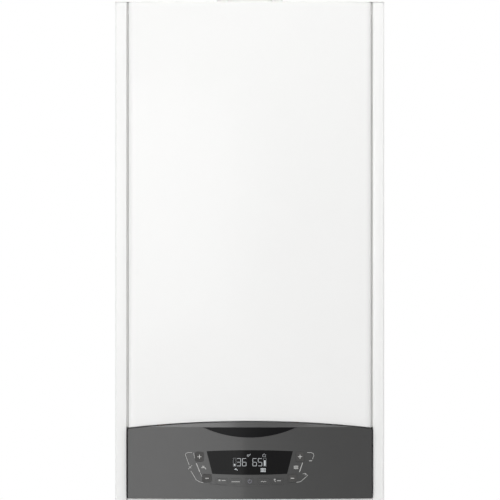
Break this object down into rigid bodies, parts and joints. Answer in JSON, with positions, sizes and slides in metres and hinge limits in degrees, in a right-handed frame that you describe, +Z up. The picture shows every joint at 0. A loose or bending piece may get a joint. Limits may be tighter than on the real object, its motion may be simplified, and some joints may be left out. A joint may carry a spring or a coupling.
{
  "type": "system boiler",
  "caption": "Wall-hung system boiler: white sheet-metal casing, bowed front panel and a dark hinged control panel with display and keys; inner works behind.",
  "frame": {"origin": "midway between the two screw holes of the wall bracket, on the wall plane", "axes": "+Z up, +Y into the wall, the front faces -Y, +X to the right seen from the front"},
  "size_m": [0.4, 0.3194, 0.81],
  "materials": {
    "white_paint": "smooth semi-gloss powder coat",
    "zinc_sheet": "zinc-coated sheet, faint spangle",
    "steel_fixings": "bright zinc plate",
    "stainless": "satin stainless steel",
    "cast_aluminium": "fine cast surface",
    "white_flue": "satin paint",
    "copper": "drawn copper, slightly dulled",
    "brass": "turned and forged brass",
    "red_paint": "gloss enamel",
    "cast_body": "dark coated casting",
    "rubber": "matte moulded rubber",
    "black_plastic": "fine grain",
    "white_plastic": "smooth moulding",
    "red_plastic": "gloss moulding",
    "circuit_board": "green solder mask",
    "fascia_plastic": "satin dark grey moulding",
    "key_plastic": "satin dark grey moulding",
    "display_glass": "tinted clear window",
    "gloss_black": "gloss black"
  },
  "bodies": {
    "chassis": {"wall_bracket": "zinc_sheet", "back_frame": "zinc_sheet", "wall_buffers": "rubber", "side_panel_left": "white_paint", "side_panel_right": "white_paint", "casing_screws": "steel_fixings", "top_panel": "white_paint", "base_plate": "white_paint", "cross_rail": "zinc_sheet", "panel_studs": "steel_fixings", "chamber_box": "zinc_sheet", "chamber_cover": "zinc_sheet", "exchanger_shell": "stainless", "exchanger_coil": "stainless", "burner_door": "cast_aluminium", "burner": "stainless", "electrode": "white_plastic", "mixture_duct": "cast_aluminium", "fan_housing": "cast_aluminium", "fan_motor": "black_plastic", "gas_valve": "cast_aluminium", "gas_pipe": "copper", "flue_pipe": "white_flue", "flue_collar": "white_flue", "expansion_vessel": "red_paint", "vessel_membrane": "rubber", "vessel_hose": "rubber", "pump_body": "cast_body", "pump_motor": "red_paint", "return_pipe": "copper", "riser_pipe": "copper", "flow_pipe": "copper", "flow_block": "brass", "safety_valve": "brass", "air_vent": "brass", "condensate_trap": "white_plastic", "union_nuts": "brass", "cable_gland": "black_plastic", "hinge_brackets": "zinc_sheet", "captive_screws": "steel_fixings"},
    "front_panel_body": {"front_panel": "white_paint", "panel_clips": "black_plastic"},
    "control_panel": {"fascia": "fascia_plastic", "display_lens": "display_glass", "display_board": "gloss_black", "control_box": "black_plastic", "control_board": "circuit_board", "hinge_pins": "steel_fixings"},
    "pump_rotor_body": {"pump_rotor": "steel_fixings"},
    "fan_rotor_body": {"fan_rotor": "black_plastic"},
    "safety_knob_body": {"safety_knob": "red_plastic"},
    "key_water_plus_body": {"key_water_plus": "key_plastic"},
    "key_water_minus_body": {"key_water_minus": "key_plastic"},
    "key_heating_plus_body": {"key_heating_plus": "key_plastic"},
    "key_heating_minus_body": {"key_heating_minus": "key_plastic"},
    "key_mode_body": {"key_mode": "key_plastic"},
    "key_menu_body": {"key_menu": "key_plastic"},
    "key_power_body": {"key_power": "key_plastic"},
    "key_auto_body": {"key_auto": "key_plastic"},
    "key_comfort_body": {"key_comfort": "key_plastic"}
  },
  "joints": [
    {"name": "front_panel_pull", "type": "slide", "parent": "chassis", "child": "front_panel_body", "axis": [0, -1, 0], "range_m": [0, 0.25]},
    {"name": "control_panel_hinge", "type": "hinge", "parent": "chassis", "child": "control_panel", "pos_m": [0, -0.3, -0.661], "axis": [1, 0, 0], "range_deg": [0, 90]},
    {"name": "pump_spin", "type": "hinge", "parent": "chassis", "child": "pump_rotor_body", "pos_m": [0.13, -0.08, -0.525], "axis": [0, 1, 0], "continuous": true},
    {"name": "fan_spin", "type": "hinge", "parent": "chassis", "child": "fan_rotor_body", "pos_m": [-0.036, -0.24, -0.33], "axis": [0, 1, 0], "continuous": true},
    {"name": "safety_knob_turn", "type": "hinge", "parent": "chassis", "child": "safety_knob_body", "pos_m": [-0.085, -0.18, -0.61], "axis": [0, 1, 0], "range_deg": [0, 90]},
    {"name": "key_water_plus_press", "type": "slide", "parent": "control_panel", "child": "key_water_plus_body", "axis": [0, 1, 0], "range_m": [0, 0.001], "stiffness_N_per_m": 400, "springref_m": -0.001},
    {"name": "key_water_minus_press", "type": "slide", "parent": "control_panel", "child": "key_water_minus_body", "axis": [0, 1, 0], "range_m": [0, 0.001], "stiffness_N_per_m": 400, "springref_m": -0.001},
    {"name": "key_heating_plus_press", "type": "slide", "parent": "control_panel", "child": "key_heating_plus_body", "axis": [0, 1, 0], "range_m": [0, 0.001], "stiffness_N_per_m": 400, "springref_m": -0.001},
    {"name": "key_heating_minus_press", "type": "slide", "parent": "control_panel", "child": "key_heating_minus_body", "axis": [0, 1, 0], "range_m": [0, 0.001], "stiffness_N_per_m": 400, "springref_m": -0.001},
    {"name": "key_mode_press", "type": "slide", "parent": "control_panel", "child": "key_mode_body", "axis": [0, 1, 0], "range_m": [0, 0.001], "stiffness_N_per_m": 400, "springref_m": -0.001},
    {"name": "key_menu_press", "type": "slide", "parent": "control_panel", "child": "key_menu_body", "axis": [0, 1, 0], "range_m": [0, 0.001], "stiffness_N_per_m": 400, "springref_m": -0.001},
    {"name": "key_power_press", "type": "slide", "parent": "control_panel", "child": "key_power_body", "axis": [0, 1, 0], "range_m": [0, 0.001], "stiffness_N_per_m": 400, "springref_m": -0.001},
    {"name": "key_auto_press", "type": "slide", "parent": "control_panel", "child": "key_auto_body", "axis": [0, 1, 0], "range_m": [0, 0.001], "stiffness_N_per_m": 400, "springref_m": -0.001},
    {"name": "key_comfort_press", "type": "slide", "parent": "control_panel", "child": "key_comfort_body", "axis": [0, 1, 0], "range_m": [0, 0.001], "stiffness_N_per_m": 400, "springref_m": -0.001}
  ]
}
